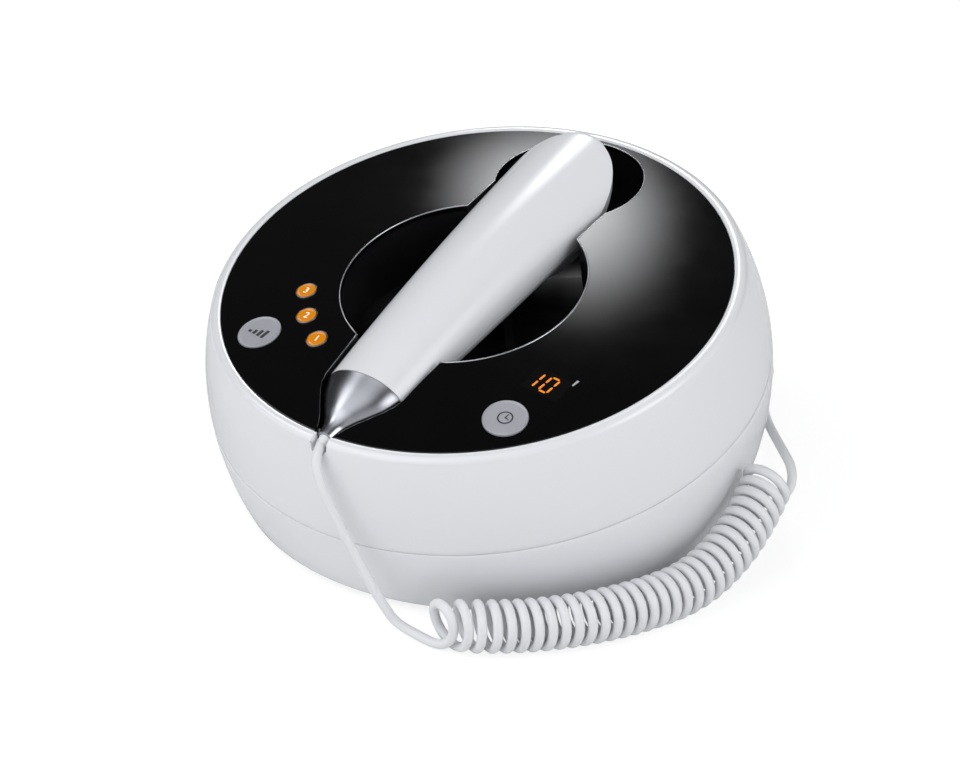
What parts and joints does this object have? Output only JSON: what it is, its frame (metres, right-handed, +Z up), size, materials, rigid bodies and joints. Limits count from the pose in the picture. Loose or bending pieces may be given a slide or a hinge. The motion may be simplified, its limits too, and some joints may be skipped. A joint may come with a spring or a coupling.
{
  "type": "radio frequency beauty machine",
  "caption": "Bulged white table-top beauty machine with a slanted black control plate, push buttons and a handpiece lying in a cradle on a curly cord.",
  "frame": {"origin": "on the table under the axis of the round housing", "axes": "+Z up, +Y to the rear, where the inlet and power switch are, -Y the low front with the cord's notch, +X to the right seen from the front"},
  "size_m": [0.2525, 0.256, 0.1314],
  "materials": {
    "white_housing": "glossy white moulded plastic",
    "black_gloss": "piano black, polished",
    "grey_button": "silver-grey satin paint",
    "amber_lens": "lit amber lens",
    "bright_ring": "thin bright ring",
    "smoked_lens": "smoked window",
    "silver_cone": "satin silver",
    "grey_collar": "light grey plastic",
    "electrode_metal": "polished steel",
    "white_cord": "soft white cable jacket",
    "rubber": "black rubber",
    "steel": "zinc plated",
    "circuit_board": "green solder mask",
    "black_part": "black moulded plastic",
    "white_light": "diffused light",
    "ferrite": "ferrite core with taped winding",
    "sink_metal": "anodised",
    "capacitor_sleeve": "dark blue sleeve",
    "inlet_plastic": "black plastic with a metal pin"
  },
  "bodies": {
    "base": {"lower_casing": "white_housing", "upper_casing": "white_housing", "top_plate": "black_gloss", "cradle_tray": "black_gloss", "level_lamp_1": "amber_lens", "level_lamp_2": "amber_lens", "level_lamp_3": "amber_lens", "level_lamp_bezels": "bright_ring", "display_lens": "smoked_lens", "cord_drop": "white_cord", "cord_coil": "white_cord", "cord_return": "white_cord", "rubber_feet": "rubber", "case_screws": "steel", "level_board": "circuit_board", "time_board": "circuit_board", "level_switch": "black_part", "time_switch": "black_part", "level_leds": "white_light", "display_module": "black_part", "main_board": "circuit_board", "board_screws": "steel", "rf_transformer": "ferrite", "heat_sink": "sink_metal", "power_transistors": "black_part", "filter_capacitors": "capacitor_sleeve", "buzzer": "black_part", "power_inlet": "inlet_plastic", "power_switch_housing": "black_part", "cord_gland": "white_cord"},
    "handpiece": {"handpiece_upper_shell": "white_housing", "handpiece_lower_shell": "white_housing", "tail_cone": "silver_cone", "tail_grommet": "grey_collar", "head_collar": "grey_collar", "electrode_carrier": "black_part", "electrodes": "electrode_metal", "handpiece_board": "circuit_board", "handpiece_screws": "steel"},
    "level_key": {"level_button": "grey_button", "level_plunger": "black_part"},
    "time_key": {"time_button": "grey_button", "time_plunger": "black_part"},
    "rocker": {"power_rocker": "black_part"}
  },
  "joints": [
    {"name": "handpiece_lift", "type": "slide", "parent": "base", "child": "handpiece", "axis": [0, -0.2079, 0.9781], "range_m": [0, 0.09]},
    {"name": "level_button_press", "type": "slide", "parent": "base", "child": "level_key", "axis": [0, 0.2079, -0.9781], "range_m": [0, 0.0008], "stiffness_N_per_m": 1200},
    {"name": "time_button_press", "type": "slide", "parent": "base", "child": "time_key", "axis": [0, 0.2079, -0.9781], "range_m": [0, 0.0008], "stiffness_N_per_m": 1200},
    {"name": "power_rocker_turn", "type": "hinge", "parent": "base", "child": "rocker", "pos_m": [0.015, 0.1065, 0.029], "axis": [-1, 0, 0], "range_deg": [0, 20]}
  ]
}
